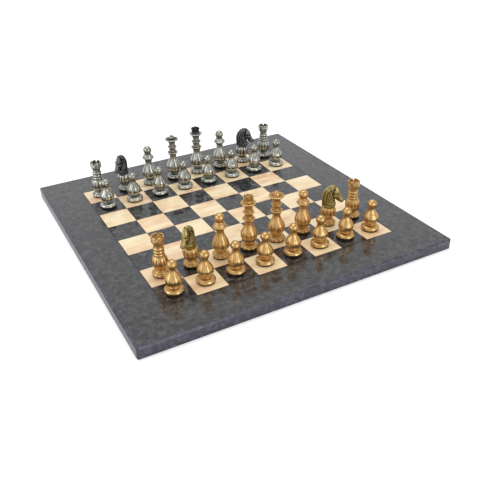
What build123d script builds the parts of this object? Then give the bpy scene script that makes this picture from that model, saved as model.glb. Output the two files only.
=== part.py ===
from build123d import *
import math
import os

os.makedirs("parts", exist_ok=True)

# A chess set in millimetres. The board lies on z = 0 with its centre on the Z axis.
# X runs along the near edge, where the brass men stand, and Y runs away from it.

# The board
BOARD_SIDE = 400.0
BOARD_THICKNESS = 13.5
SQUARE_SIDE = 37.5
SQUARES_ACROSS = 8
STRINGING_WIDTH = 1.2
LIPPING_WIDTH = 3.0
VENEER = 0.8
BACKING = 0.6
GLUE_LINE = 0.05
CORNER_ROUND = 2.5
EDGE_ROUND = 1.5

# What all men share
FELT = 1.0
FELT_INSET = 0.7
LOBES = 12
LOBE_DEPTH = 0.4
GLOBE_LOBE_DEPTH = 0.55
LEAST_FADE, FADE_POWER = 0.08, 0.7
NECK_STEP = 0.12
NECK_OVERLAP = 1.0
STUD_RADIUS = 2.0
STUD_ROOM = 0.1

# The bun of a foot, and the step ring that stands on it
BUN_SWELL = 2.4
BUN_MIDDLE = 2.9
BUN_ANGLES = (-52, -26, 0, 28, 56, 80)
STEP_SET_BACK = 2.7
STEP_HEIGHT = 1.5
STEP_ROUND = 0.5
COVE_BEND = (0.25, 0.35)

# Levels of a bulb, as angles from its widest one
LOWER_ANGLES = (-80, -60, -40, -20)
UPPER_ANGLES = (0, 20, 40, 60, 80)
SHOULDER_ANGLES = (0, 16, 32, 48)
TAPER_SHARES = (0, 0.2, 0.4, 0.6, 0.8, 1)

# The rolled lip of a dished collar, and how far its flare and its dip bend
LIP_HEIGHT = 1.8
LIP_ROUND = 0.5
FLARE_BEND = (0.22, 0.5)
DIP_BEND = 0.35

# Each man's widest radii, and its height over the board
PAWN_FOOT, PAWN_BULB, PAWN_HEAD, PAWN_HEIGHT = 11.2, 9.4, 5.6, 40.2
ROOK_FOOT, ROOK_BULB, ROOK_TOP, ROOK_HEIGHT = 10.3, 9.3, 7.4, 50.4
KNIGHT_FOOT, KNIGHT_BULB = 9.9, 9.6
BISHOP_FOOT, BISHOP_BULB, BISHOP_COLLAR, BISHOP_HEIGHT = 10.5, 10.2, 8.4, 56.8
QUEEN_FOOT, QUEEN_BULB, QUEEN_SAUCER, QUEEN_HEIGHT = 11.0, 10.3, 9.5, 65.8
KING_FOOT, KING_BULB, KING_SAUCER, KING_HEIGHT = 11.2, 10.1, 9.4, 71.0

# Details that repeat round a man
MERLONS = 6
MERLON_GAP = 1.9
MERLON_WALL = 2.2
CROWN_POINTS = 8
SCALLOP_RADIUS = 1.2

FIELD_HALF = SQUARE_SIDE * SQUARES_ACROSS / 2
STRINGING_HALF = FIELD_HALF + STRINGING_WIDTH
PANEL_HALF = BOARD_SIDE / 2 - LIPPING_WIDTH
VENEER_FLOOR = BOARD_THICKNESS - VENEER
SIDES = ("near", "right", "far", "left")


def save(piece, name):
    """Label a finished piece and write it as the node of that name."""
    piece.label = name
    export_step(piece, f"parts/{name}.step")


def square_centre(file_index, row_index):
    """Centre of a square, counted from the left and from the near edge."""
    middle = (SQUARES_ACROSS - 1) / 2
    return ((file_index - middle) * SQUARE_SIDE, (row_index - middle) * SQUARE_SIDE)


# Board: a core with a backing sheet under it, veneers on top and lippings round the edge

with BuildPart() as core_panel:
    with BuildSketch(Plane.XY.offset(BACKING)):
        Rectangle(2 * PANEL_HALF, 2 * PANEL_HALF)
    extrude(amount=VENEER_FLOOR - BACKING)
save(core_panel.part, "core_panel")

with BuildPart() as backing_sheet:
    with BuildSketch():
        Rectangle(2 * PANEL_HALF, 2 * PANEL_HALF)
    extrude(amount=BACKING)
save(backing_sheet.part, "backing_sheet")

for shade, parity in (("dark", 0), ("light", 1)):
    centres = [
        square_centre(i, j)
        for i in range(SQUARES_ACROSS)
        for j in range(SQUARES_ACROSS)
        if (i + j) % 2 == parity
    ]
    with BuildPart() as squares:
        with BuildSketch(Plane.XY.offset(VENEER_FLOOR)):
            with Locations(*centres):
                Rectangle(SQUARE_SIDE - GLUE_LINE, SQUARE_SIDE - GLUE_LINE)
        extrude(amount=VENEER)
    save(squares.part, f"{shade}_squares")


def frame_side(turn, inner, outer, floor, height, rounded=False):
    """One mitred side of a square frame, the near one turned about the Z axis."""
    with BuildPart() as side:
        with BuildSketch(Plane.XY.offset(floor)):
            Rectangle(2 * outer, 2 * outer)
            Rectangle(2 * inner, 2 * inner, mode=Mode.SUBTRACT)
        extrude(amount=height)
        if rounded:
            fillet(side.edges().filter_by(Axis.Z).group_by(SortBy.DISTANCE)[-1], CORNER_ROUND)
            top, bottom = side.faces().sort_by(Axis.Z)[-1], side.faces().sort_by(Axis.Z)[0]
            fillet(top.outer_wire().edges() + bottom.outer_wire().edges(), EDGE_ROUND)
        with BuildSketch(Plane.XY.offset(floor).rotated((0, 0, turn))):
            reach = 2 * outer
            with BuildLine():
                Polyline(
                    (0, -GLUE_LINE),
                    (reach, -reach - GLUE_LINE),
                    (-reach, -reach - GLUE_LINE),
                    close=True,
                )
            make_face()
        extrude(amount=height, mode=Mode.INTERSECT)
    return side.part


with BuildPart() as stringing:
    for k in range(len(SIDES)):
        add(frame_side(90 * k, FIELD_HALF, STRINGING_HALF, VENEER_FLOOR, VENEER), clean=False)
save(stringing.part, "stringing")

for k, side_name in enumerate(SIDES):
    border = frame_side(90 * k, STRINGING_HALF, PANEL_HALF, VENEER_FLOOR, VENEER)
    save(border, f"border_{side_name}")
    lipping = frame_side(90 * k, PANEL_HALF, BOARD_SIDE / 2, 0, BOARD_THICKNESS, rounded=True)
    save(lipping, f"edge_lipping_{side_name}")


# Shapes that the men are made of, each at its height over the board


def polar(radius, angle):
    """Point at a radius and an angle in degrees about the middle of a sketch."""
    return (radius * math.cos(math.radians(angle)), radius * math.sin(math.radians(angle)))


def lobed_section(height, radius, depth):
    """Ring of arcs on a level plane: crowns at the radius, valleys a depth inside it."""
    half_pitch = 180 / LOBES
    with BuildSketch(Plane.XY.offset(height)) as section:
        with BuildLine():
            for lobe in range(LOBES):
                middle = 2 * half_pitch * lobe
                ThreePointArc(
                    polar(radius - depth, middle - half_pitch),
                    polar(radius, middle),
                    polar(radius - depth, middle + half_pitch),
                )
        make_face()
    return section.sketch


def felt_pad(foot):
    """Felt disc under a man, a glue line short of the metal."""
    with BuildPart() as pad:
        with BuildSketch():
            Circle(foot - FELT_INSET)
        extrude(amount=FELT - GLUE_LINE)
    return pad.part


def turned(*runs):
    """Outline revolved about the Z axis: a run of two points is straight, a longer one curved."""
    first, last = runs[0][0], runs[-1][-1]
    with BuildPart() as piece:
        with BuildSketch(Plane.XZ):
            with BuildLine():
                for run in runs:
                    if len(run) == 2:
                        Line(*run)
                    else:
                        Spline(*run)
                if last[0] > 0:
                    Line(last, (0, last[1]))
                Line((0, last[1]), (0, first[1]))
                Line((0, first[1]), first)
            make_face()
        revolve(axis=Axis.Z)
    return piece.part


def bun_point(foot, angle):
    """Radius and height on the round outline of a foot, at an angle above its widest level."""
    out, up = polar(BUN_SWELL, angle)
    return (foot - BUN_SWELL + out, BUN_MIDDLE + up)


def lobed_foot(foot):
    """Gadrooned bun of a foot, drawn in at the felt."""
    with BuildPart() as bun:
        loft(
            [
                lobed_section(height, radius, LOBE_DEPTH)
                for radius, height in (bun_point(foot, angle) for angle in BUN_ANGLES)
            ]
        )
    return bun.part


def cove(foot, waist):
    """Step ring on a foot, and the hollow that runs up to the waist of the bulb."""
    ring = foot - STEP_SET_BACK
    low = bun_point(foot, BUN_ANGLES[-1])[1]
    high = low + STEP_HEIGHT
    neck, neck_height = waist[0] - NECK_STEP, waist[1]
    inner = ring - 2 * STEP_ROUND
    hollow = (neck + COVE_BEND[0] * (inner - neck), high + COVE_BEND[1] * (neck_height - high))
    return turned(
        [(ring, low), (ring, high - STEP_ROUND), (ring - STEP_ROUND, high)],
        [(ring - STEP_ROUND, high), (inner, high)],
        [(inner, high), hollow, (neck, neck_height)],
        [(neck, neck_height), (neck, neck_height + NECK_OVERLAP)],
    )


def round_outline(wide, end, angles):
    """Points of a quarter ellipse from the widest (radius, height) pair to an end pair."""
    points = []
    for angle in angles:
        out, up = polar(1, angle)
        points.append((end[0] + (wide[0] - end[0]) * out, wide[1] + abs(wide[1] - end[1]) * up))
    return points


def tapered_outline(wide, neck):
    """Points of half a cosine wave from the widest (radius, height) pair up to the neck pair."""
    points = []
    for share in TAPER_SHARES:
        taper = (1 + math.cos(math.pi * share)) / 2
        points.append((neck[0] + (wide[0] - neck[0]) * taper, wide[1] + (neck[1] - wide[1]) * share))
    return points


def gadrooned(outline, depth):
    """Loft of lobed sections through (radius, height) pairs, with lobes that fade out at both ends."""
    bottom, top = outline[0][1], outline[-1][1]
    sections = []
    for radius, height in outline:
        share = (height - bottom) / (top - bottom)
        fade = max(LEAST_FADE, abs(math.sin(math.pi * share)) ** FADE_POWER)
        sections.append(lobed_section(height, radius, depth * fade))
    with BuildPart() as swelling:
        loft(sections)
    return swelling.part


def onion_bulb(low, wide, neck):
    """Onion: round below its widest level, and drawn out to a neck above it."""
    return gadrooned(round_outline(wide, low, LOWER_ANGLES) + tapered_outline(wide, neck), LOBE_DEPTH)


def globe(low, wide, high, upper_angles):
    """Globe: round below and above its widest level, as far up as the angles go."""
    outline = round_outline(wide, low, LOWER_ANGLES) + round_outline(wide, high, upper_angles)
    return gadrooned(outline, GLOBE_LOBE_DEPTH)


def dished_collar(below, lip, above):
    """Runs of a collar: a flare from the neck below to a rolled lip, and a dip to the neck above."""
    edge, level = lip
    bend_out, bend_up = FLARE_BEND
    flare = (below[0] + bend_out * (edge - below[0]), below[1] + bend_up * (level - below[1]))
    inner = (edge - 2 * LIP_ROUND, level + LIP_HEIGHT)
    dip = (above[0] + DIP_BEND * (inner[0] - above[0]), level + LIP_HEIGHT - LIP_ROUND)
    return (
        [below, flare, (edge - LIP_ROUND, level)],
        [(edge - LIP_ROUND, level), (edge, level + LIP_HEIGHT / 2), inner],
        [inner, dip, (above[0], level + 2 * LIP_HEIGHT), above],
    )


def socket(height, depth):
    """Blank of the hole for a stud or a spigot, from a height downwards."""
    with BuildPart() as hole:
        with BuildSketch(Plane.XY.offset(height)):
            Circle(STUD_RADIUS + STUD_ROOM)
        extrude(amount=-depth)
    return hole.part


# Pawn: a smooth bun foot, an onion bulb and a ball

PAWN_WAIST = (5.0, 8.8)
PAWN_NECK = (3.8, 28.5)
PAWN_BUN = ((10.0, FELT), (PAWN_FOOT, 3.1), (10.3, 5.2), (7.8, 6.6))
pawn_root = (PAWN_WAIST[0] - NECK_STEP, PAWN_WAIST[1])
pawn_ball = PAWN_HEIGHT - PAWN_HEAD

with BuildPart() as pawn:
    add(felt_pad(PAWN_FOOT))
    add(
        turned(
            PAWN_BUN,
            [PAWN_BUN[-1], (6.2, 7.1), pawn_root],
            [pawn_root, (pawn_root[0], pawn_root[1] + NECK_OVERLAP)],
        )
    )
    add(onion_bulb(PAWN_WAIST, (PAWN_BULB, 16.5), PAWN_NECK))
    add(turned([(PAWN_NECK[0] - NECK_STEP, PAWN_NECK[1]), (PAWN_NECK[0] - NECK_STEP, pawn_ball)]))
    with Locations((0, 0, pawn_ball)):
        Sphere(PAWN_HEAD)


# Rook: a gadrooned globe, a ringed column and a battlement on a corbelled cup

ROOK_WAIST = (5.3, 9.2)
GLOBE_LOW = (4.5, 9.2)
GLOBE_HIGH = (4.0, 26.6)
COLUMN = 5.2
RING = 6.3
RING_HALF_HEIGHT = 1.5
RING_HEIGHTS = (27.4, 31.2, 35.0)
CORBEL = ((COLUMN, 39.4), (5.7, 41.6), (ROOK_TOP - 0.4, 42.9), (ROOK_TOP, 44.0))
PARAPET = 46.2

with BuildPart() as rook:
    add(felt_pad(ROOK_FOOT))
    add(lobed_foot(ROOK_FOOT))
    add(cove(ROOK_FOOT, ROOK_WAIST))
    add(globe(GLOBE_LOW, (ROOK_BULB, 17.8), GLOBE_HIGH, UPPER_ANGLES))
    add(turned([(COLUMN, GLOBE_HIGH[1] - NECK_OVERLAP), (COLUMN, CORBEL[0][1])]))
    for ring_height in RING_HEIGHTS:
        low, high = ring_height - RING_HALF_HEIGHT, ring_height + RING_HALF_HEIGHT
        add(turned([(COLUMN, low), (RING, ring_height), (COLUMN, high)]))
    add(
        turned(
            CORBEL,
            [CORBEL[-1], (ROOK_TOP, ROOK_HEIGHT)],
            [(ROOK_TOP, ROOK_HEIGHT), (ROOK_TOP - MERLON_WALL, ROOK_HEIGHT)],
            [(ROOK_TOP - MERLON_WALL, ROOK_HEIGHT), (ROOK_TOP - MERLON_WALL, PARAPET)],
            [(ROOK_TOP - MERLON_WALL, PARAPET), (0, PARAPET)],
        )
    )
    with BuildSketch(Plane.XY.offset(PARAPET)):
        with PolarLocations(0, MERLONS // 2, angular_range=180):
            Rectangle(3 * ROOK_TOP, MERLON_GAP)
    extrude(amount=ROOK_HEIGHT - PARAPET, mode=Mode.SUBTRACT)


# Bishop: an onion bulb, a collar of two tiers and a ball

BISHOP_WAIST = (5.2, 9.2)
BISHOP_NECK = (4.5, 34.0)
BISHOP_BALL = 5.8
BISHOP_LIP = 39.6
BISHOP_THROAT = (3.9, 46.2)
bishop_ball = BISHOP_HEIGHT - BISHOP_BALL
bishop_tier = (6.9, BISHOP_LIP + LIP_HEIGHT)

with BuildPart() as bishop:
    add(felt_pad(BISHOP_FOOT))
    add(lobed_foot(BISHOP_FOOT))
    add(cove(BISHOP_FOOT, BISHOP_WAIST))
    add(onion_bulb(BISHOP_WAIST, (BISHOP_BULB, 17.2), BISHOP_NECK))
    bishop_root = (BISHOP_NECK[0] - NECK_STEP, BISHOP_NECK[1])
    flare, lip = dished_collar(bishop_root, (BISHOP_COLLAR, BISHOP_LIP), bishop_tier)[:2]
    add(
        turned(
            flare,
            lip,
            [lip[-1], bishop_tier],
            [bishop_tier, (6.8, 42.9), (5.4, 44.4), BISHOP_THROAT],
            [BISHOP_THROAT, (BISHOP_THROAT[0], bishop_ball)],
        )
    )
    with Locations((0, 0, bishop_ball)):
        Sphere(BISHOP_BALL)


# Queen: an onion bulb, two dished collars, and a wide saucer with a domed button

QUEEN_WAIST = (5.3, 9.2)
QUEEN_NECK = (4.6, 34.0)
QUEEN_NECKS = ((4.5, 44.8), (4.4, 54.0))
QUEEN_LIPS = ((7.6, 39.2), (6.7, 47.6), (QUEEN_SAUCER, 59.4))
QUEEN_BUTTON = ((4.9, 60.9), (4.9, 62.2), (4.2, 64.0), (2.4, 65.3), (0, QUEEN_HEIGHT))

with BuildPart() as queen:
    add(felt_pad(QUEEN_FOOT))
    add(lobed_foot(QUEEN_FOOT))
    add(cove(QUEEN_FOOT, QUEEN_WAIST))
    add(onion_bulb(QUEEN_WAIST, (QUEEN_BULB, 18.2), QUEEN_NECK))
    flare, lip = dished_collar(QUEEN_NECKS[1], QUEEN_LIPS[2], QUEEN_BUTTON[0])[:2]
    add(
        turned(
            *dished_collar((QUEEN_NECK[0] - NECK_STEP, QUEEN_NECK[1]), QUEEN_LIPS[0], QUEEN_NECKS[0]),
            *dished_collar(QUEEN_NECKS[0], QUEEN_LIPS[1], QUEEN_NECKS[1]),
            flare,
            lip,
            [lip[-1], (6.6, 60.7), QUEEN_BUTTON[0]],
            QUEEN_BUTTON,
        )
    )


# King: an onion bulb, two dished collars and a saucer, with a separate crown on a spigot

KING_WAIST = (5.0, 9.2)
KING_NECK = (4.8, 33.5)
KING_NECKS = ((4.7, 45.0), (4.6, 53.6))
KING_LIPS = ((7.9, 39.1), (7.1, 47.7), (KING_SAUCER, 59.4))
CROWN_SEAT = 60.8
CROWN_RIM = 65.6
CROWN_RADIUS = 6.4
CROWN_WALL = 1.2
CROWN_DOME = ((4.6, 64.2), (4.5, 66.8), (2.9, 69.0), (1.0, 69.4))
CROWN_FINIAL = (CROWN_DOME[-1], (1.4, 70.1), (0.9, 70.8), (0, KING_HEIGHT))
SEAT_MARGIN = 0.4
SPIGOT = 3.6
crown_inner = CROWN_RADIUS - CROWN_WALL

with BuildPart() as king_body:
    add(felt_pad(KING_FOOT))
    add(lobed_foot(KING_FOOT))
    add(cove(KING_FOOT, KING_WAIST))
    add(onion_bulb(KING_WAIST, (KING_BULB, 19.0), KING_NECK))
    flare, lip = dished_collar(KING_NECKS[1], KING_LIPS[2], (0, CROWN_SEAT))[:2]
    add(
        turned(
            *dished_collar((KING_NECK[0] - NECK_STEP, KING_NECK[1]), KING_LIPS[0], KING_NECKS[0]),
            *dished_collar(KING_NECKS[0], KING_LIPS[1], KING_NECKS[1]),
            flare,
            lip,
            [lip[-1], (CROWN_RADIUS + SEAT_MARGIN, CROWN_SEAT)],
        )
    )
    add(socket(CROWN_SEAT, SPIGOT + STUD_ROOM), mode=Mode.SUBTRACT)

with BuildPart() as king_crown:
    add(turned([(STUD_RADIUS, CROWN_SEAT - SPIGOT), (STUD_RADIUS, CROWN_SEAT)]))
    add(
        turned(
            [(CROWN_RADIUS - SEAT_MARGIN, CROWN_SEAT), (5.8, 62.4), (CROWN_RADIUS, CROWN_RIM)],
            [(CROWN_RADIUS, CROWN_RIM), (crown_inner, CROWN_RIM)],
            [(crown_inner, CROWN_RIM), (crown_inner, CROWN_DOME[0][1])],
            [(crown_inner, CROWN_DOME[0][1]), CROWN_DOME[0]],
            CROWN_DOME,
            CROWN_FINIAL,
        )
    )
    with Locations((0, 0, CROWN_RIM)):
        with PolarLocations(CROWN_RADIUS, CROWN_POINTS):
            Cylinder(SCALLOP_RADIUS, 2.5 * CROWN_WALL, rotation=(0, 90, 0), mode=Mode.SUBTRACT)


# Knight: a gadrooned globe on its foot, a cast horse head, and the stud that joins them

KNIGHT_WAIST = (5.2, 9.8)
KNIGHT_LOW = (4.4, 9.8)
KNIGHT_MIDDLE = 18.8
HEAD_SEAT = 24.6
KNIGHT_HIGH = (3.2, KNIGHT_MIDDLE + (HEAD_SEAT - KNIGHT_MIDDLE) / polar(1, SHOULDER_ANGLES[-1])[1])
STUD_DEPTH = 6.0

with BuildPart() as knight_base:
    add(felt_pad(KNIGHT_FOOT))
    add(lobed_foot(KNIGHT_FOOT))
    add(cove(KNIGHT_FOOT, KNIGHT_WAIST))
    add(globe(KNIGHT_LOW, (KNIGHT_BULB, KNIGHT_MIDDLE), KNIGHT_HIGH, SHOULDER_ANGLES))
    add(socket(HEAD_SEAT, STUD_DEPTH + STUD_ROOM), mode=Mode.SUBTRACT)

with BuildPart() as knight_stud:
    with BuildSketch(Plane.XY.offset(HEAD_SEAT - STUD_DEPTH)):
        Circle(STUD_RADIUS)
    extrude(amount=2 * STUD_DEPTH)


def oval(forward, height, tilt, depth, width):
    """Oval across the horse: its centre, the tilt of its plane towards the nose, and its half axes."""
    lean = math.radians(tilt)
    level = Plane(
        origin=(forward, 0, height),
        x_dir=(math.cos(lean), 0, -math.sin(lean)),
        z_dir=(math.sin(lean), 0, math.cos(lean)),
    )
    with BuildSketch(level) as section:
        Ellipse(depth, width)
    return section.sketch


# The horse looks along +X. Its neck rises from the seat, and its head hangs from the poll.
NECK_OVALS = (
    (0.2, HEAD_SEAT, 0, 7.4, 6.8),
    (1.2, 28.5, 0, 7.9, 6.5),
    (0.5, 34.0, -2, 7.0, 5.6),
    (0.6, 40.0, 4, 6.6, 4.8),
    (1.9, 45.6, 24, 5.6, 4.1),
    (4.8, 49.4, 52, 3.9, 3.2),
)
HEAD_TILT = 140
HEAD_OVALS = (
    (6.7, 49.6, HEAD_TILT, 3.2, 2.6),
    (7.6, 46.5, HEAD_TILT, 4.8, 3.6),
    (9.0, 42.5, HEAD_TILT, 5.5, 3.9),
    (10.8, 38.8, HEAD_TILT, 4.7, 3.3),
    (12.9, 36.0, HEAD_TILT, 3.8, 2.7),
    (15.2, 33.8, HEAD_TILT, 3.2, 2.5),
    (16.6, 32.8, HEAD_TILT, 2.7, 2.2),
)
CREST = (
    (-5.9, 25.4),
    (-6.4, 31.0),
    (-6.4, 37.0),
    (-5.6, 42.0),
    (-3.8, 46.0),
    (-0.8, 49.2),
    (3.0, 51.0),
    (6.0, 51.2),
)
CREST_HALF_THICKNESS, CREST_HALF_WIDTH = 1.9, 2.0
LOCK_CENTRE = (9.6, 43.0)
LOCK_FIRST, LOCK_PITCH, LOCK_GAP = 5.8, 2.0, 0.5
LOCK_RELIEF, LOCK_TUCK = 0.55, 1.0
LOCKS = 3
POLL, POLL_RADIUS = (6.6, 0, 50.0), 2.3
CHEEK, CHEEK_RADIUS = (8.8, 0, 41.0), 4.5
NOSE, NOSE_RADIUS = (16.3, 0, 33.4), 2.4
BROW, BROW_RADIUS = (10.8, 2.9, 45.0), 1.0
NOSTRIL, NOSTRIL_RADIUS = (17.6, 2.0, 34.6), 0.7
MOUTH, MOUTH_SLIT = (16.4, 0, 31.9), (4.0, 8.0, 0.5)
EAR, EAR_RADII, EAR_LENGTH = (6.0, 2.0, 51.2), (1.7, 0.35), 5.0
EAR_TILT, EAR_SPREAD = 18, 12

with BuildPart() as mane_locks:
    loft([oval(*spot, depth - LOCK_TUCK, width + LOCK_RELIEF) for *spot, depth, width in NECK_OVALS])
    with BuildSketch(Plane.XZ):
        with Locations(LOCK_CENTRE):
            for lock in reversed(range(LOCKS)):
                Circle(LOCK_FIRST + (lock + 1) * LOCK_PITCH - LOCK_GAP)
                Circle(LOCK_FIRST + lock * LOCK_PITCH, mode=Mode.SUBTRACT)
    extrude(amount=KNIGHT_BULB, both=True, mode=Mode.INTERSECT)

with BuildPart() as knight_head:
    loft([oval(*station) for station in NECK_OVALS])
    add(mane_locks.part)
    loft([oval(*station) for station in HEAD_OVALS])
    with BuildLine(Plane.XZ) as crest_line:
        Spline(*CREST)
    with BuildSketch(Plane(origin=crest_line.line @ 0, z_dir=crest_line.line % 0)):
        Ellipse(CREST_HALF_WIDTH, CREST_HALF_THICKNESS)
    sweep(path=crest_line.line)
    for centre, radius in ((POLL, POLL_RADIUS), (CHEEK, CHEEK_RADIUS), (NOSE, NOSE_RADIUS)):
        with Locations(centre):
            Sphere(radius)
    for side in (-1, 1):
        with Locations((BROW[0], side * BROW[1], BROW[2])):
            Sphere(BROW_RADIUS)
        with Locations(Location((EAR[0], side * EAR[1], EAR[2]), (-side * EAR_SPREAD, EAR_TILT, 0))):
            Cone(*EAR_RADII, EAR_LENGTH)
        with Locations((NOSTRIL[0], side * NOSTRIL[1], NOSTRIL[2])):
            Sphere(NOSTRIL_RADIUS, mode=Mode.SUBTRACT)
    with Locations(Location(MOUTH, (0, HEAD_TILT - 90, 0))):
        Box(*MOUTH_SLIT, mode=Mode.SUBTRACT)
    add(socket(HEAD_SEAT + STUD_DEPTH + STUD_ROOM, STUD_DEPTH + STUD_ROOM), mode=Mode.SUBTRACT)


# The men on their squares

BRASS_ROWS = (0, 1)
NICKEL_ROWS = (6, 7)
KNIGHT_TURN = 35.0


def place(shape, name, square, turn=0.0):
    """Stand a copy of a shape on a square, turned about its own axis, as a node."""
    x, y = square_centre(*square)
    heading = polar(1, turn)
    with BuildPart(Plane(origin=(x, y, BOARD_THICKNESS), x_dir=(*heading, 0), z_dir=(0, 0, 1))) as man:
        add(shape, clean=False)
    save(man.part, name)


for metal, (pawn_row, back_row), king_file in (("gold", BRASS_ROWS, 3), ("silver", NICKEL_ROWS, 4)):
    for i in range(SQUARES_ACROSS):
        place(pawn.part, f"{metal}_pawn_{i + 1}", (i, pawn_row))
    for wing, outer_file, inward, turn in (
        ("left", 0, 1, 180 + KNIGHT_TURN),
        ("right", SQUARES_ACROSS - 1, -1, -KNIGHT_TURN),
    ):
        knight_square = (outer_file + inward, back_row)
        place(rook.part, f"{metal}_rook_{wing}", (outer_file, back_row))
        place(knight_base.part, f"{metal}_knight_{wing}_base", knight_square)
        place(knight_stud.part, f"{metal}_knight_{wing}_stud", knight_square)
        place(knight_head.part, f"{metal}_knight_{wing}_head", knight_square, turn)
        place(bishop.part, f"{metal}_bishop_{wing}", (outer_file + 2 * inward, back_row))
    queen_file = SQUARES_ACROSS - 1 - king_file
    place(queen.part, f"{metal}_queen", (queen_file, back_row))
    place(king_body.part, f"{metal}_king_body", (king_file, back_row))
    place(king_crown.part, f"{metal}_king_crown", (king_file, back_row))
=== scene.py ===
# %% [markdown]
# # A chess set in brass and nickel on a lacquered board
#
# The construction is already modelled: a board of veneers, and thirty-two metal men that lift off
# it. This lesson gives it its looks. It loads the model as a fixed frame, paints the flat veneers
# as wood, and draws every man again as a smooth surface, because a casting's soft edges and flutes
# need finer shading than a construction model has.

# %% Load the frame
import math

import bpy
import numpy as np
from mathutils import Matrix, Vector


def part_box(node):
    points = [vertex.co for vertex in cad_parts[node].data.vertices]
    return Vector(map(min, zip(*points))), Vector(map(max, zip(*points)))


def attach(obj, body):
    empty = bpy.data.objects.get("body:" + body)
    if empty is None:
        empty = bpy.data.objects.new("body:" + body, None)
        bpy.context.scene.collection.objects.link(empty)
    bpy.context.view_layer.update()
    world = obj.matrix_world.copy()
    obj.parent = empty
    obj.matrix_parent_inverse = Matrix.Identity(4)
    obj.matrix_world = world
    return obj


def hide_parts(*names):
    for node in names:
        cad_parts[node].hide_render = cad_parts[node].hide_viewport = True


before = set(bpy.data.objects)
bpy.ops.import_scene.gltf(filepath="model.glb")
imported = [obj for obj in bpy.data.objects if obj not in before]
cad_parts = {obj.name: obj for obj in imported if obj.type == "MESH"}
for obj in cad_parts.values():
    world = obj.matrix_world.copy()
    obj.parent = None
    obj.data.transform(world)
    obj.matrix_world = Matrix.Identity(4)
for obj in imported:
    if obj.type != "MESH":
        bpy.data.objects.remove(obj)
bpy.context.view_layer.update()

MM = 0.001
field_low, field_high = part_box("light_squares")
board_top = field_high.z

# %% [markdown]
# ## Camera
#
# The camera was fitted to the grid of squares, so it is written as the numbers of that fit: where
# the eye stands from the middle of the board's top, its three angles, and the focal length in
# pixels. A camera looks along its own -Z, so its matrix is made of right, up and backward.

# %% Camera
IMAGE_PIXELS, FOCAL_PIXELS = 480, 618.88
SENSOR_MM = 36.0
EYE_FROM_BOARD = np.array([-316.57, -642.89, 390.17]) * MM
AZIMUTH, ELEVATION, ROLL = (math.radians(a) for a in (-27.4835, 31.292, -1.5603))


def new_object(name, data):
    """Object in the scene for a mesh, a lamp or a camera."""
    made = bpy.data.objects.new(name, data)
    bpy.context.scene.collection.objects.link(made)
    return made


out = math.cos(ELEVATION)
backward = Vector((math.sin(AZIMUTH) * out, -math.cos(AZIMUTH) * out, math.sin(ELEVATION)))
level_right = (-backward).cross(Vector((0, 0, 1))).normalized()
level_up = level_right.cross(-backward)
right = math.cos(ROLL) * level_right + math.sin(ROLL) * level_up
up = -math.sin(ROLL) * level_right + math.cos(ROLL) * level_up
lens = bpy.data.cameras.new("camera")
lens.sensor_fit = "HORIZONTAL"
lens.sensor_width = SENSOR_MM
lens.lens = FOCAL_PIXELS / IMAGE_PIXELS * SENSOR_MM
lens.clip_start, lens.clip_end = 0.05, 50.0
camera = new_object("camera", lens)
eye = Vector(EYE_FROM_BOARD) + Vector((0, 0, board_top))
facing = Matrix((right, up, backward)).transposed().to_4x4()
camera.matrix_world = Matrix.Translation(eye) @ facing
bpy.context.scene.camera = camera
bpy.context.scene.view_settings.view_transform = "Standard"
print("camera lens", round(lens.lens, 2), "mm")

# %% [markdown]
# ## Small helpers
#
# Colours are written as the sRGB hex values that a picture shows, and Blender's shaders work in
# linear light, so one function turns the one into the other. Another adds a node, sets what is
# fixed and links what is not, and a few short ones use it for kinds of node that come back often.

# %% Helpers
VECTOR = "ShaderNodeVectorMath"


def linear(code):
    """sRGB hex to linear RGBA: c / 12.92 in the toe, ((c + 0.055) / 1.055) ** 2.4 above it."""
    channel = np.array([int(code[i : i + 2], 16) for i in (1, 3, 5)]) / 255
    light = np.where(channel <= 0.04045, channel / 12.92, ((channel + 0.055) / 1.055) ** 2.4)
    return (*light.tolist(), 1.0)


def feed(tree, node, inputs):
    """Give a node its inputs: a plain value is set, and another node's socket is linked."""
    for socket, value in inputs.items():
        if isinstance(value, bpy.types.NodeSocket):
            tree.links.new(value, node.inputs[socket])
        else:
            node.inputs[socket].default_value = value


def add(tree, kind, inputs=None, **settings):
    """Add a node: settings are its own properties, and its inputs are fed."""
    node = tree.nodes.new(kind)
    for name, value in settings.items():
        setattr(node, name, value)
    feed(tree, node, inputs or {})
    return node


def new_material(name):
    """Empty node material: its tree, its Principled shader and the place of a point in metres."""
    material = bpy.data.materials.new(name)
    material.use_nodes = True
    tree = material.node_tree
    shader = tree.nodes["Principled BSDF"]
    place = add(tree, "ShaderNodeTexCoord").outputs["Object"]
    return material, tree, shader, place


def maths(tree, operation, *values, kind="ShaderNodeMath", **settings):
    """Arithmetic on numbers or, by its kind, on vectors: the socket of its result."""
    inputs = dict(enumerate(values))
    return add(tree, kind, inputs, operation=operation, **settings).outputs[0]


def ranged(tree, value, low, high, to_low, to_high):
    """Straight line from to_low at low to to_high at high, held level beyond them."""
    inputs = {"From Min": low, "From Max": high, "To Min": to_low, "To Max": to_high}
    return add(tree, "ShaderNodeMapRange", {"Value": value, **inputs}).outputs[0]


def noise(tree, place, size_mm, detail, roughness=0.5):
    """Noise with features about as wide as given: Fac is one grey, Color three channels."""
    inputs = {"Scale": 1 / (size_mm * MM), "Detail": detail, "Roughness": roughness}
    return add(tree, "ShaderNodeTexNoise", {"Vector": place, **inputs}).outputs


def stretched(tree, place, per_metre, detail):
    """Grey noise stretched to so many features a metre along each axis."""
    scaled = add(tree, "ShaderNodeMapping", {"Vector": place, "Scale": per_metre}).outputs[0]
    return noise(tree, scaled, 1 / MM, detail)["Fac"]


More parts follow.
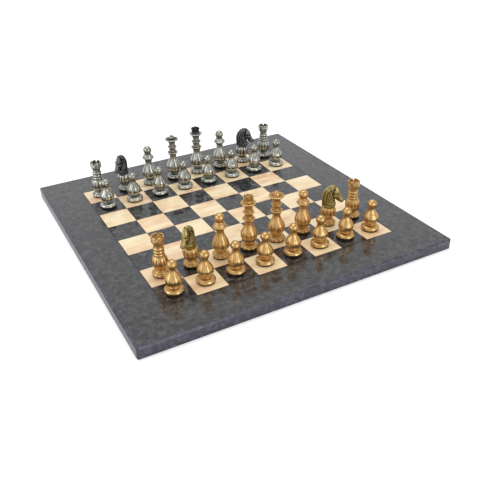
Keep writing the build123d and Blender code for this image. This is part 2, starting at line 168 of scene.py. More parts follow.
def bumps(tree, height, strength, depth_mm):
    """Normal tilted by the slope of a height."""
    inputs = {"Height": height, "Strength": strength, "Distance": depth_mm * MM}
    return add(tree, "ShaderNodeBump", inputs).outputs[0]


def ramp(tree, factor, *stops):
    """Colour ramp through (position, sRGB hex) stops."""
    node = add(tree, "ShaderNodeValToRGB", {"Fac": factor})
    elements = node.color_ramp.elements
    while len(elements) < len(stops):
        elements.new(1.0)
    for element, (position, code) in zip(elements, stops):
        element.position = position
        element.color = linear(code)
    return node.outputs["Color"]


# %% [markdown]
# ## Stage
#
# The set lies on a plain pale floor in front of white paper. A large soft lamp stands to the right
# of the camera, which draws the bright upright streak on every bulb, a wide one hangs above, and a
# third fills from the left. The paper is pure white only to the camera. In reflections it is
# greyer and dims towards the ceiling, so the lacquer shows a grey sky that the men cut into.

# %% Floor
FLOOR_HALF, PAPER_LIFT = 6.0, 0.36

floor_mesh = bpy.data.meshes.new("floor")
corners = np.array([(-1, -1), (1, -1), (1, 1), (-1, 1)]) * FLOOR_HALF
floor_mesh.from_pydata(np.c_[corners, np.zeros(4)].tolist(), [], [(0, 1, 2, 3)])
floor = new_object("floor", floor_mesh)
paper, paper_tree, paper_shader, _ = new_material("white_paper")
seen = add(paper_tree, "ShaderNodeLightPath").outputs["Is Camera Ray"]
paper_looks = {
    "Base Color": linear("#f4f4f4"),
    "Roughness": 0.9,
    "Specular IOR Level": 0.1,
    "Emission Color": linear("#ffffff"),
    "Emission Strength": maths(paper_tree, "MULTIPLY", seen, PAPER_LIFT),
}
feed(paper_tree, paper_shader, paper_looks)
floor_mesh.materials.append(paper)
print("floor half width", FLOOR_HALF, "m")

# %% World
SKY_LOW, SKY_HIGH, SKY_TOP = 0.88, 0.64, 0.9

world = bpy.data.worlds.new("studio")
bpy.context.scene.world = world
world.use_nodes = True
sky = world.node_tree
sky.nodes.clear()
direction = add(sky, "ShaderNodeTexCoord").outputs["Generated"]
height = add(sky, "ShaderNodeSeparateXYZ", {0: direction}).outputs["Z"]
level = ranged(sky, height, 0.0, SKY_TOP, SKY_LOW, SKY_HIGH)
studio = add(sky, "ShaderNodeBackground", {"Color": linear("#fdfdff"), "Strength": level})
white = add(sky, "ShaderNodeBackground", {"Color": linear("#ffffff"), "Strength": 1.0})
to_camera = add(sky, "ShaderNodeLightPath").outputs["Is Camera Ray"]
shown = add(sky, "ShaderNodeMixShader", {0: to_camera, 1: studio.outputs[0], 2: white.outputs[0]})
add(sky, "ShaderNodeOutputWorld", {"Surface": shown.outputs[0]})
print("sky from", SKY_LOW, "to", SKY_HIGH)

# %% Lamps
# A lamp's place, what it faces, its width and height, all in metres, and its watts.
SOFTBOXES = {
    "softbox_right": ((0.42, -2.0, 0.62), (0, 0, 0.03), (0.45, 1.3), 9.0),
    "softbox_above": ((0.1, 0.3, 1.7), (0, 0, 0), (1.2, 0.9), 10.0),
    "softbox_left": ((-1.7, 0.1, 0.8), (0, 0, 0.02), (1.0, 1.0), 7.0),
}


def softbox(name, place, aim, size, watts):
    """Rectangular area lamp at a place, facing a point."""
    lamp = bpy.data.lights.new(name, "AREA")
    lamp.shape = "RECTANGLE"
    lamp.size, lamp.size_y = size
    lamp.energy = watts
    facing = (Vector(place) - Vector(aim)).to_track_quat("Z", "Y").to_matrix().to_4x4()
    new_object(name, lamp).matrix_world = Matrix.Translation(place) @ facing


for name, settings in SOFTBOXES.items():
    softbox(name, *settings)
print("softboxes:", len(SOFTBOXES))

# %% [markdown]
# ## Burl veneer under lacquer
#
# Burl is wood that grew in knots, so its figure is a crowd of swirls with small dark eyes and no
# straight grain. Here it is stained, and sealed under gloss lacquer. The figure is noise whose
# place is first pushed about by slower noise, which curls it, and a cell pattern gives the eyes.
# The lacquer is a clear coat: its mirror is much sharper than the wood below.

# %% Lacquer
COAT_IOR = 1.6
WAVE_MM, WAVE_STRENGTH, WAVE_DEPTH_MM = 14.0, 0.12, 0.05


def lacquered(tree, shader, place, colour, roughness, specular=0.2, coat=1.0, mirror=0.05):
    """Wood of a colour under gloss lacquer: a clear coat with a faint long wave."""
    wave = noise(tree, place, WAVE_MM, detail=1.0)["Fac"]
    looks = {
        "Base Color": colour,
        "Roughness": roughness,
        "Specular IOR Level": specular,
        "Coat Weight": coat,
        "Coat Roughness": mirror,
        "Coat IOR": COAT_IOR,
        "Coat Normal": bumps(tree, wave, WAVE_STRENGTH, WAVE_DEPTH_MM),
    }
    feed(tree, shader, looks)


print("lacquer wave", WAVE_MM, "mm")

# %% Burl veneer
DRIFT_SWIRLS, PUSH_SWIRLS = 2.2, 1.6
EYE_INSIDE, EYE_OUTSIDE, EYE_DARKER, REST_LIGHTER = 0.05, 0.45, -0.16, 0.04


def burl_veneer(name, dark, middle, light, swirl_mm, eye_mm, mirror=0.05):
    """Stained burl: curled noise as wide as a swirl, and eyes as far apart as given."""
    material, tree, shader, place = new_material(name)
    drift = noise(tree, place, DRIFT_SWIRLS * swirl_mm, detail=2.0)["Color"]
    push = maths(tree, "SUBTRACT", drift, (0.5, 0.5, 0.5), kind=VECTOR)
    reach = (PUSH_SWIRLS * swirl_mm * MM,) * 3
    pushed = maths(tree, "MULTIPLY_ADD", push, reach, place, kind=VECTOR)
    swirl = noise(tree, pushed, swirl_mm, detail=6.0, roughness=0.6)["Fac"]
    cells = {"Vector": pushed, "Scale": 1 / (eye_mm * MM), "Smoothness": 0.6}
    eyes = add(tree, "ShaderNodeTexVoronoi", cells, feature="SMOOTH_F1").outputs["Distance"]
    depth = ranged(tree, eyes, EYE_INSIDE, EYE_OUTSIDE, EYE_DARKER, REST_LIGHTER)
    figure = maths(tree, "ADD", swirl, depth)
    colour = ramp(tree, figure, (0.3, dark), (0.5, middle), (0.7, light))
    lacquered(tree, shader, place, colour, roughness=0.45, mirror=mirror)
    return material


border_burl = burl_veneer(
    "grey_stained_burl_veneer", "#16171a", "#2d2e30", "#4c4d4d", 5.5, 8.0, mirror=0.09
)
square_burl = burl_veneer(
    "charcoal_stained_burl_veneer", "#040506", "#151619", "#4a4c52", 6.0, 9.0
)
lipping_burl = burl_veneer(
    "violet_grey_burl_lipping", "#0b0a15", "#222033", "#4f4b60", 5.0, 7.0, mirror=0.3
)
print("burl veneers:", border_burl.name, square_burl.name, lipping_burl.name)

# %% [markdown]
# ## Maple veneer
#
# The light squares are pale maple with a soft pink flame. Each was cut from another place of the
# leaf, so the grain is one stretched noise, which a random number per square moves along. The
# square that a point is in is its place divided by the side of a square, rounded down.

# %% Maple veneer
FLAMES_A_METRE, PORES_A_METRE = (22, 70, 1), (60, 900, 1)
PORE_SHARE, LOT_SHARE = 0.22, 0.1
SQUARES = 8
square_side = (field_high.x - field_low.x) / SQUARES


def maple_veneer(name, pale, cream, pink):
    """Pale maple: fine pores along X, a slow flame, and another leaf for every square."""
    material, tree, shader, place = new_material(name)
    per_square = (1 / square_side, 1 / square_side, 0)
    square = maths(tree, "MULTIPLY", place, per_square, kind=VECTOR)
    square = maths(tree, "FLOOR", square, kind=VECTOR)
    lot = add(tree, "ShaderNodeTexWhiteNoise", {"Vector": square}, noise_dimensions="3D").outputs
    leaf = maths(tree, "ADD", lot["Color"], place, kind=VECTOR)
    flame = stretched(tree, leaf, FLAMES_A_METRE, detail=3.0)
    pores = stretched(tree, leaf, PORES_A_METRE, detail=4.0)
    tone = maths(tree, "MULTIPLY_ADD", pores, PORE_SHARE, flame)
    tone = maths(tree, "MULTIPLY_ADD", lot["Value"], LOT_SHARE, tone)
    colour = ramp(tree, tone, (0.41, pale), (0.62, cream), (0.85, pink))
    lacquered(tree, shader, place, colour, roughness=0.5)
    return material


maple = maple_veneer("pale_maple_veneer", "#fbedcb", "#f7e0b4", "#e8bc91")
print("maple squares", round(square_side / MM, 2), "mm")

# %% [markdown]
# ## Dyed line, felt and core
#
# The line round the field is black-dyed wood under a thin coat of the same lacquer. Felt is a dull
# mat of short fibres, a little furry at the edge. The core shows nowhere, and is fibre board.

# %% Dyed line, felt and core
STREAK_MM, SPECK_MM, LINE_COAT = 1.5, 0.8, 0.12


def dyed_line(name, dark, light):
    """Black-dyed wood: faint streaks under lacquer."""
    material, tree, shader, place = new_material(name)
    streak = noise(tree, place, STREAK_MM, detail=3.0)["Fac"]
    colour = ramp(tree, streak, (0.35, dark), (0.7, light))
    lacquered(tree, shader, place, colour, roughness=0.5, specular=0.5, coat=LINE_COAT)
    return material


def felt(name, dark, light, fibre_mm):
    """Pressed wool: mottled fibres with a soft sheen."""
    material, tree, shader, place = new_material(name)
    fibre = noise(tree, place, fibre_mm, detail=5.0)["Fac"]
    looks = {
        "Base Color": ramp(tree, fibre, (0.3, dark), (0.7, light)),
        "Normal": bumps(tree, fibre, strength=0.5, depth_mm=0.2),
        "Roughness": 0.95,
        "Specular IOR Level": 0.1,
        "Sheen Weight": 0.3,
    }
    feed(tree, shader, looks)
    return material


def fibre_board(name, dark, light):
    """Pressed wood fibre: fine specks, matt."""
    material, tree, shader, place = new_material(name)
    speck = noise(tree, place, SPECK_MM, detail=4.0)["Fac"]
    colour = ramp(tree, speck, (0.35, dark), (0.65, light))
    feed(tree, shader, {"Base Color": colour, "Roughness": 0.85})
    return material


black_line = dyed_line("black_dyed_stringing", "#040404", "#0c0c0d")
pad_felt = felt("black_felt", "#0c0c0d", "#1d1d1f", fibre_mm=0.6)
backing_felt = felt("charcoal_felt_backing", "#1a1a1d", "#303036", fibre_mm=0.8)
core = fibre_board("fibre_board", "#8a6f4d", "#b0946c")
print("felts:", pad_felt.name, backing_felt.name)

# %% Finish the board
FINISHES = {
    "border_": border_burl,
    "edge_lipping_": lipping_burl,
    "dark_squares": square_burl,
    "light_squares": maple,
    "stringing": black_line,
    "backing_sheet": backing_felt,
    "core_panel": core,
}


def paint(node, material):
    """Give a node that keeps its own model one material."""
    node.data.materials.clear()
    node.data.materials.append(material)


for start, material in FINISHES.items():
    for node_name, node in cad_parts.items():
        if node_name.startswith(start):
            paint(node, material)
print("board finishes:", len(FINISHES))

# %% [markdown]
# ## Cast metal
#
# The men are cast, turned and polished, and the dark that is left in their hollows makes them look
# old. Each vertex carries a number, recess, from 0 on the crowns to 1 in the hollows, worked out
# from the shape. Along it the material goes from polished metal to a darker and duller one, so the
# dark in hollows and creases is partly patina and partly painted shade. A slow noise adds the
# cloudy tarnish of handling, and a fine one the softness of a satin polish.

# %% Cast metal
CLOUD_MM, CLOUD_SHARE = 6.0, 0.2
SATIN_MM, SATIN_STRENGTH, SATIN_DEPTH_MM = 1.2, 0.15, 0.05
DULL_FROM, DULLER_BY = 0.1, 0.25


def cast_metal(name, polished, worn, hollow, roughness, stops=(0.05, 0.25, 0.78)):
    """Polished casting: colour from polished to hollow along recess, clouded by slow noise."""
    material, tree, shader, place = new_material(name)
    recess = add(tree, "ShaderNodeAttribute", attribute_name="recess").outputs["Fac"]
    cloud = noise(tree, place, CLOUD_MM, detail=4.0)["Fac"]
    depth = maths(tree, "MULTIPLY_ADD", cloud, CLOUD_SHARE, recess, use_clamp=True)
    satin = noise(tree, place, SATIN_MM, detail=2.0)["Fac"]
    looks = {
        "Base Color": ramp(tree, depth, *zip(stops, (polished, worn, hollow))),
        "Roughness": ranged(tree, depth, DULL_FROM, 1.0, roughness, roughness + DULLER_BY),
        "Normal": bumps(tree, satin, SATIN_STRENGTH, SATIN_DEPTH_MM),
        "Metallic": 1.0,
    }
    feed(tree, shader, looks)
    return material


brass = cast_metal("satin_polished_brass", "#dcb87e", "#c0965b", "#62391a", 0.32)
nickel = cast_metal(
    "antique_nickel_plate", "#c0c0b6", "#75756c", "#0c0c0b", 0.21, stops=(0.08, 0.27, 0.47)
)
head_brass = cast_metal("antique_cast_brass", "#b3a36c", "#837547", "#2a2410", 0.36)
black_nickel = cast_metal("black_nickel_plate", "#7c7c80", "#37373a", "#0a0a0b", 0.3)
METALS = {"gold": brass, "silver": nickel}
HEAD_METALS = {"gold": head_brass, "silver": black_nickel}
print("metals:", brass.name, nickel.name, head_brass.name, black_nickel.name)

# %% [markdown]
# ## Outlines
#
# A turned man is one line carried round an axis. The line is made of runs: plain lists of knots for
# straight ones, curves through a few knots, and the bulb, whose shape is a formula. The runs are
# joined, spaced evenly and eased a little, because no edge of a polished casting is sharp. A knot
# is a radius and a height over the board in millimetres.

# %% Outline runs
KNOT_POINTS, ARC_POINTS, TAPER_POINTS = 20, 40, 60


def curve(*knots):
    """Natural cubic spline through (radius, height) knots, over the chords between them."""
    knots = np.array(knots, float)
    chord = np.linalg.norm(np.diff(knots, axis=0), axis=1)
    at = np.r_[0, np.cumsum(chord)]
    count = len(at)
    system = np.eye(count)
    slope = np.zeros_like(knots)
    inner = np.arange(1, count - 1)
    system[inner, inner - 1], system[inner, inner + 1] = chord[:-1] / 6, chord[1:] / 6
    system[inner, inner] = (chord[:-1] + chord[1:]) / 3
    rise = np.diff(knots, axis=0) / chord[:, None]
    slope[inner] = np.diff(rise, axis=0)
    bend = np.linalg.solve(system, slope)
    t = np.linspace(0, at[-1], KNOT_POINTS * count)
    k = np.clip(np.searchsorted(at, t, side="right") - 1, 0, count - 2)
    left, right, h = (at[k + 1] - t)[:, None], (t - at[k])[:, None], chord[k][:, None]
    return (
        bend[k] * left**3 / (6 * h)
        + bend[k + 1] * right**3 / (6 * h)
        + (knots[k] / h - bend[k] * h / 6) * left
        + (knots[k + 1] / h - bend[k + 1] * h / 6) * right
    )


def quarter(wide, end, last=80):
    """Quarter ellipse from the widest level, as far as an angle of last degrees:
    r = end + (wide - end) cos a, h = wide + (end - wide) sin a."""
    angle = np.radians(np.linspace(0, last, ARC_POINTS))[:, None]
    wide, end = np.array(wide), np.array(end)
    start = np.where([True, False], end, wide)
    return start + (wide - end) * np.c_[np.cos(angle), -np.sin(angle)]


def onion(low, wide, neck):
    """Onion bulb: a quarter ellipse up to its widest level, half a cosine wave to the neck."""
    share = np.linspace(0, 1, TAPER_POINTS)
    taper = (1 + np.cos(np.pi * share)) / 2
    radius = neck[0] + (wide[0] - neck[0]) * taper
    height = wide[1] + (neck[1] - wide[1]) * share
    return np.r_[quarter(wide, low)[::-1], np.c_[radius, height]]


def globe(low, wide, high, last):
    """Globe: quarter ellipses below and above its widest level, the upper to an angle."""
    return np.r_[quarter(wide, low)[::-1], quarter(wide, high, last)]


def ball(centre, radius, neck):
    """Ball on a neck: an arc from where the neck meets it to the top."""
    angle = np.linspace(-math.acos(neck / radius), np.pi / 2, ARC_POINTS)
    return np.c_[radius * np.cos(angle), centre + radius * np.sin(angle)]


# %% Feet, collars and the whole outline
BUN_ROUND, BUN_MIDDLE, BUN_FROM, BUN_TO, BUN_POINTS = 2.4, 2.9, -52, 80, 30
RING_INSET, RING_LOW, RING_HIGH, RING_ROUND = 2.7, 5.26, 6.76, 0.5
COVE_OUT, COVE_UP = 0.25, 0.35
FLARE_OUT, FLARE_UP, LIP_HEIGHT, LIP_ROUND = 0.22, 0.5, 1.8, 0.5
DISH_OUT, DISH_FLOOR, DISH_END = 0.35, 1.3, 3.6
STEP_MM, TOO_SHORT = 0.42, 1e-6


def lobed_bun(foot):
    """Bun of a gadrooned foot: r = foot - round + round cos a, h = middle + round sin a."""
    angle = np.radians(np.linspace(BUN_FROM, BUN_TO, BUN_POINTS))
    radius = foot - BUN_ROUND + BUN_ROUND * np.cos(angle)
    return np.c_[radius, BUN_MIDDLE + BUN_ROUND * np.sin(angle)]


def cove(foot, waist):
    """Step ring on a lobed foot, with a rounded edge, and the hollow up to the waist."""
    ring = foot - RING_INSET
    shelf = ring - 2 * RING_ROUND
    out, up = COVE_OUT * (shelf - waist[0]), COVE_UP * (waist[1] - RING_HIGH)
    hollow = (waist[0] + out, RING_HIGH + up)
    edge = (ring, RING_HIGH - RING_ROUND), (ring - RING_ROUND, RING_HIGH)
    return np.r_[curve((ring, RING_LOW), *edge), curve((shelf, RING_HIGH), hollow, waist)]


def lip(below, edge, level):
    """Flare from a neck to a rolled lip."""
    out, up = FLARE_OUT * (edge - below[0]), FLARE_UP * (level - below[1])
    flare = (below[0] + out, below[1] + up)
    start, top = (edge - LIP_ROUND, level), (edge - 2 * LIP_ROUND, level + LIP_HEIGHT)
    return np.r_[curve(below, flare, start), curve(start, (edge, level + LIP_HEIGHT / 2), top)]


def dish(edge, level, above):
    """Dip from a rolled lip to the neck above it."""
    inner = (edge - 2 * LIP_ROUND, level + LIP_HEIGHT)
    bottom = (above[0] + DISH_OUT * (inner[0] - above[0]), level + DISH_FLOOR)
    return curve(inner, bottom, (above[0], level + DISH_END), above)


def collar(below, edge, level, above):
    """Dished collar between two necks."""
    return np.r_[lip(below, edge, level), dish(edge, level, above)]


def outline(*runs, eased=3):
    """Join runs from pole to pole, space them evenly, and ease corners with a 1-2-1 mean."""
    line = np.concatenate(runs)
    line = np.concatenate([[[0, line[0, 1]]], line, [[0, line[-1, 1]]]])
    length = np.linalg.norm(np.diff(line, axis=0), axis=1)
    line = line[np.r_[True, length > TOO_SHORT]]
    at = np.r_[0, np.cumsum(length[length > TOO_SHORT])]
    even = np.linspace(0, at[-1], int(at[-1] / STEP_MM))
    line = np.c_[np.interp(even, at, line[:, 0]), np.interp(even, at, line[:, 1])]
    for _ in range(eased):
        line[1:-1] = (line[:-2] + 2 * line[1:-1] + line[2:]) / 4
    return line


print("outline step", STEP_MM, "mm")

# %% [markdown]
# ## Surfaces
#
# The line is carried round in 96 columns, eight to each of twelve lobes. Across a lobe the radius
# falls away with the square of the distance from its crown, which leaves a crease between lobes.
# The recess of a vertex is how far its outline lies inside a smoother one, plus how deep it lies
# in a crease. The darker colour it gives is partly patina and partly painted shade.

# %% Turned surfaces
LOBES, COLUMNS, LOBE_DEPTH = 12, 96, 0.24
LOBE_FADE, LOBE_MOST = 0.7, 0.3
HOLLOW_SPAN_MM, HOLLOW_FULL_MM = 5.0, 0.9
CREASE_FULL_MM, CREASE_MOST, CREASE_POWER, CREASE_SHARE = 0.4, 1.3, 6, 0.4


def once_round(count):
    """Evenly spaced angles of a full turn."""
    return np.arange(count) * 2 * np.pi / count


def lobe_depth(line, spans):
    """Depth of creases along an outline, from (low, high, depth) spans that fade at both ends."""
    depth = np.zeros(len(line))
    for low, high, deep in spans:
        share = np.clip((line[:, 1] - low) / (high - low), 0, 1)
        depth = np.maximum(depth, deep * np.sin(np.pi * share) ** LOBE_FADE)
    return np.minimum(depth, LOBE_MOST * line[:, 0])


def hollowness(line):
    """0 to 1 along an outline: how far it lies inside its running mean, square to the line."""
    width = int(HOLLOW_SPAN_MM / STEP_MM) | 1
    window = np.hanning(width + 2)[1:-1]
    window /= window.sum()
    padded = np.pad(line, ((width // 2, width // 2), (0, 0)), mode="edge")
    mean = np.stack([np.convolve(padded[:, k], window, mode="valid") for k in (0, 1)], 1)
    along = np.gradient(line, axis=0)
    length = np.linalg.norm(along, axis=1, keepdims=True) + 1e-9
    outward = np.c_[along[:, 1], -along[:, 0]] / length
    return np.clip(((mean - line) * outward).sum(1) / HOLLOW_FULL_MM, 0, 1)


def revolved(line, spans=(), columns=COLUMNS):
    """Grid x = q cos t, y = q sin t, z = h, with q = r - d v ** 2 for creases d deep and v from
    -1 to 1 across a lobe, and its recess."""
    angle = once_round(columns)
    across = 2 * ((angle * LOBES / (2 * np.pi) + 0.5) % 1) - 1
    depth = lobe_depth(line, spans)
    radius = line[:, :1] - depth[:, None] * across**2
    height = np.broadcast_to(line[:, 1:], radius.shape)
    points = np.stack([radius * np.cos(angle), radius * np.sin(angle), height], axis=-1)
    # Hollows and creases get a higher recess, which darkens them: partly patina, partly painted
    # shade.
    crease = np.clip(depth / CREASE_FULL_MM, 0, CREASE_MOST)[:, None] * across**CREASE_POWER
    recess = np.clip(hollowness(line)[:, None] + CREASE_SHARE * crease, 0, 1)
    return points, recess


print("grid columns", COLUMNS)

# %% Closed tubes
FELT, FELT_INSET = 1.0, 0.7


def tube(points, recess):
    """Closed tube from a grid whose end rows are single points: vertices, recess, the quads
    between rows and the triangles of the end fans."""
    inner, columns = len(points) - 2, points.shape[1]
    ring = np.arange(columns)
    following = (ring + 1) % columns
    row = columns * np.arange(inner - 1)[:, None]
    sides = row + ring, row + following, row + columns + following, row + columns + ring
    last, pole = (inner - 1) * columns, np.full(columns, inner * columns)
    fans = np.r_[np.c_[following, ring, pole], np.c_[last + ring, last + following, pole + 1]]
    vertices = np.concatenate([points[1:-1].reshape(-1, 3), points[0, :1], points[-1, :1]])
    values = np.concatenate([recess[1:-1].reshape(-1), recess[0, :1], recess[-1, :1]])
    return vertices, values, np.stack(sides, axis=-1).reshape(-1, 4), fans


def felt_disc(foot):
    """Felt pad: a disc with a rounded rim, from the board up to the metal."""
    rim = foot - FELT_INSET
    side = [(rim - 0.15, 0), (rim, 0.2), (rim, FELT - 0.1), (rim - 0.3, FELT)]
    return tube(*revolved(outline(side)))


def dulled(line, spans, by, above, inside=math.inf):
    """Turned shell whose recess is raised by an amount above a height, inside a radius."""
    points, recess = revolved(line, spans)
    rows = (line[:, 1] > above) & (line[:, 0] < inside)
    recess[rows] = np.clip(recess[rows] + by, 0, 1)
    return tube(points, recess)


print("felt", FELT, "mm thick")

# %% [markdown]
# ## Pieces
#
# A man is several closed tubes in one mesh, each with its material. The mesh is turned and moved to
# its square in its own coordinates, so that the object stays at the origin.

# %% Pieces
WINGS = ("left", "right")


def joined(shells):
    """Vertices of shells one after another, and their faces counted on from shell to shell."""
    starts = np.cumsum([0] + [len(shell[0]) for shell in shells])
    faces = []
    for start, (_, _, quads, triangles, *_) in zip(starts, shells):
        faces += (quads + start).tolist() + (triangles + start).tolist()
    return np.concatenate([shell[0] for shell in shells]), faces


def new_piece(name, shells, place, turn):
    """Mesh object, turned about Z and moved, from shells: vertices, recess, faces, material."""
    points, faces = joined(shells)
    cosine, sine = math.cos(turn), math.sin(turn)
    turning = np.array([[cosine, sine, 0], [-sine, cosine, 0], [0, 0, 1]])
    placed = points * MM @ turning + np.array(place)
    mesh = bpy.data.meshes.new(name)
    mesh.from_pydata(placed.tolist(), [], faces)
    recess = np.concatenate([shell[1] for shell in shells]).astype(np.float32)
    mesh.attributes.new("recess", "FLOAT", "POINT").data.foreach_set("value", recess)
    materials = list(dict.fromkeys(shell[4] for shell in shells))
    for material in materials:
        mesh.materials.append(material)
    indices = []
    for _, _, quads, triangles, material in shells:
        indices += [materials.index(material)] * (len(quads) + len(triangles))
    mesh.polygons.foreach_set("material_index", indices)
    mesh.polygons.foreach_set("use_smooth", [True] * len(faces))
    mesh.update()
    return new_object(name, mesh)


def standing_place(node_name):
    """Where a man stands: the middle of its node's box, on the board."""
    low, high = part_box(node_name)
    return ((low.x + high.x) / 2, (low.y + high.y) / 2, board_top)


def dress(node_name, body, shells, turn=0.0, place=None):
    """Make the piece that a node is replaced by, and hang it on a man's body."""
    piece = new_piece(f"{node_name}_cast", shells, place or standing_place(node_name), turn)
    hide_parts(node_name)
    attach(piece, body)


# %% [markdown]
# ## Pawn, bishop and queen
#
# These three are pure turned shapes: a bun foot, an onion bulb, dished collars on thin necks, and a
# ball or a saucer. A ball is made a little darker and duller, and the floor of a dish, inside its
# rolled lip, is painted darker as shade, with the button standing in it.

# %% Pawn, bishop and queen
PAWN_FOOT, BISHOP_FOOT, QUEEN_FOOT = 11.2, 10.5, 11.0
BUN_LOBES = (0.2, 5.6, 0.4)
# A ball is made a little darker and duller; the dish floor and its button get painted shade.
BALL_DARKENING, DISH_PAINTED_SHADE = 0.07, 0.15

pawn_line = outline(
    curve((10.0, FELT), (PAWN_FOOT, 3.1), (10.3, 5.2), (7.8, 6.6)),
    curve((7.8, 6.6), (6.2, 7.1), (4.88, 8.8)),
    onion((5.0, 8.8), (9.4, 16.5), (3.8, 28.5)),
    ball(34.6, 5.6, 3.7),
)
pawn_shell = dulled(pawn_line, [(8.8, 28.5, LOBE_DEPTH)], by=BALL_DARKENING, above=29.0)

bishop_line = outline(
    lobed_bun(BISHOP_FOOT),
    cove(BISHOP_FOOT, (5.1, 9.2)),
    onion((5.2, 9.2), (10.2, 17.2), (4.5, 34.0)),
    lip((4.4, 34.0), 8.4, 39.6),
    curve((6.9, 41.4), (6.8, 42.9), (5.4, 44.4), (3.9, 46.2)),
    ball(51.0, 5.8, 3.9),
)
tall_lobes = [(9.2, 34.0, LOBE_DEPTH), BUN_LOBES]
bishop_shell = dulled(bishop_line, tall_lobes, by=BALL_DARKENING, above=46.2)

queen_line = outline(
    lobed_bun(QUEEN_FOOT),
    cove(QUEEN_FOOT, (5.2, 9.2)),
    onion((5.3, 9.2), (10.3, 18.2), (4.6, 34.0)),
    collar((4.5, 34.0), 7.6, 39.2, (4.5, 44.8)),
    collar((4.5, 44.8), 6.7, 47.6, (4.4, 53.4)),
    lip((4.4, 53.4), 9.5, 58.6),
    curve((8.5, 60.4), (6.3, 59.7), (4.1, 60.2)),
    curve((4.1, 60.2), (3.9, 61.4), (3.0, 63.7), (1.7, 65.2), (0.2, 65.8)),
)
# The dish floor and the button in it are painted darker as shade.
queen_shell = dulled(queen_line, tall_lobes, by=DISH_PAINTED_SHADE, above=59.4, inside=8.2)
print("rows:", len(pawn_line), len(bishop_line), len(queen_line))

# %% Place pawns, bishops and queens
for metal, material in METALS.items():
    men = [(f"{metal}_pawn_{k}", pawn_shell, PAWN_FOOT) for k in range(1, 9)]
    men += [(f"{metal}_bishop_{wing}", bishop_shell, BISHOP_FOOT) for wing in WINGS]
    men += [(f"{metal}_queen", queen_shell, QUEEN_FOOT)]
    for man, shell, foot in men:
        dress(man, man, [(*shell, material), (*felt_disc(foot), pad_felt)])
    print(metal, "men:", len(men))

# %% [markdown]
# ## Rook
#
# A globe with deep lobes carries a ringed column and a cup, and six merlons stand on the cup's rim.
# A merlon is a rounded block bent round the axis, between two slots of even width. The inside of
# the cup and the inner face of each merlon are painted darker as shade, and left a little dull.

# %% Rook
ROOK_FOOT, PARAPET, ROOK_TOP = 10.3, 48.0, 50.4
CUP_RADIUS, WALL = 7.4, 2.2
CUP_RIM, CUP_FLOOR, MERLON_BED = PARAPET + 0.3, PARAPET - 0.6, PARAPET - 0.4
CUP_INSIDE, CUP_INSIDE_FROM = 5.7, PARAPET - 0.8
COLUMN_RADIUS, BEAD_OUT, BEAD_HALF, BEAD_POINTS = 5.2, 1.1, 1.5, 16
# The second number darkens the inside of the cup and of the merlons: painted shade.
GLOBE_LOBES, CUP_PAINTED_SHADE = 0.55, 0.25


def bead(height, start=-90):
    """Rounded ring on the column: half an ellipse, from an angle below its widest level."""
    angle = np.radians(np.linspace(start, 90, BEAD_POINTS))
    return np.c_[COLUMN_RADIUS + BEAD_OUT * np.cos(angle), height + BEAD_HALF * np.sin(angle)]


cup_inner = CUP_RADIUS - WALL
rook_line = outline(
    lobed_bun(ROOK_FOOT),
    cove(ROOK_FOOT, (5.2, 9.2)),
    globe((4.5, 9.2), (9.3, 17.8), (4.0, 26.6), 70),
    bead(27.4, -60),
    bead(31.2),
    bead(35.0),
    curve((5.2, 39.4), (5.7, 41.6), (7.0, 42.9), (CUP_RADIUS, 44.0)),
    [(CUP_RADIUS, CUP_RIM), (cup_inner, CUP_RIM), (cup_inner, CUP_FLOOR)],
)
rook_points, rook_recess = revolved(rook_line, [(9.2, 26.4, GLOBE_LOBES), BUN_LOBES])
rook_radius = np.hypot(rook_points[..., 0], rook_points[..., 1])
inside_cup = (rook_points[..., 2] > CUP_INSIDE_FROM) & (rook_radius < CUP_INSIDE)
# Painted shade inside the cup.
rook_recess[inside_cup] = CUP_PAINTED_SHADE
rook_shell = tube(rook_points, rook_recess)
print("rook rows", len(rook_line))

# %% Merlons
MERLONS, SLOT_WIDTH = 6, 1.9
SECTION_POINTS, SQUARENESS = 32, 0.25


def merlon(middle):
    """Block on the cup's wall: a rounded rectangle in radius and height, by small powers of the
    cosine and sine, carried round between two slots."""
    turn = np.linspace(0, 2 * np.pi, SECTION_POINTS + 1)[:-1]
    cosine, sine = np.cos(turn), np.sin(turn)
    across = np.sign(cosine) * np.abs(cosine) ** SQUARENESS
    upright = np.sign(sine) * np.abs(sine) ** SQUARENESS
    share = np.array([-1, -1, -0.985, -0.95, -0.6, -0.2, 0.2, 0.6, 0.95, 0.985, 1, 1])[:, None]
    shrink = np.array([0, 0.82, 0.93, 1, 1, 1, 1, 1, 1, 0.93, 0.82, 0])[:, None]
    radius = CUP_RADIUS - WALL / 2 + shrink * across * WALL / 2
    height = (MERLON_BED + ROOK_TOP) / 2 + shrink * upright * (ROOK_TOP - MERLON_BED) / 2
    reach = np.pi / MERLONS - np.arcsin(SLOT_WIDTH / 2 / radius)
    angle = middle + share * reach
    points = np.stack([radius * np.cos(angle), radius * np.sin(angle), height], axis=-1)
    # Painted shade on the merlon's inner face.
    recess = np.where(radius < CUP_RADIUS - 0.75 * WALL, CUP_PAINTED_SHADE, 0.0)
    return tube(points, recess)


rook_shells = [rook_shell]
rook_shells += [merlon((k + 0.5) * 2 * np.pi / MERLONS) for k in range(MERLONS)]
for metal, material in METALS.items():
    for wing in WINGS:
        man = f"{metal}_rook_{wing}"
        shells = [(*shell, material) for shell in rook_shells]
        dress(man, man, shells + [(*felt_disc(ROOK_FOOT), pad_felt)])
print("merlons:", MERLONS)

# %% [markdown]
# ## King
#
# The king's body ends in a saucer, and a separate crown stands in it: a ring round a dome with a
# button on it. The crown is turned too, but its rim has eight scallops. Each is the mouth of a
# round cut across the wall, so the rim falls by the height of a circle above its chord. What stands
# within the rim is painted darker as shade, and duller, and the rest is a little darker, as a ball
# is.

# %% King's body
KING_FOOT, CROWN_SEAT = 11.2, 60.8

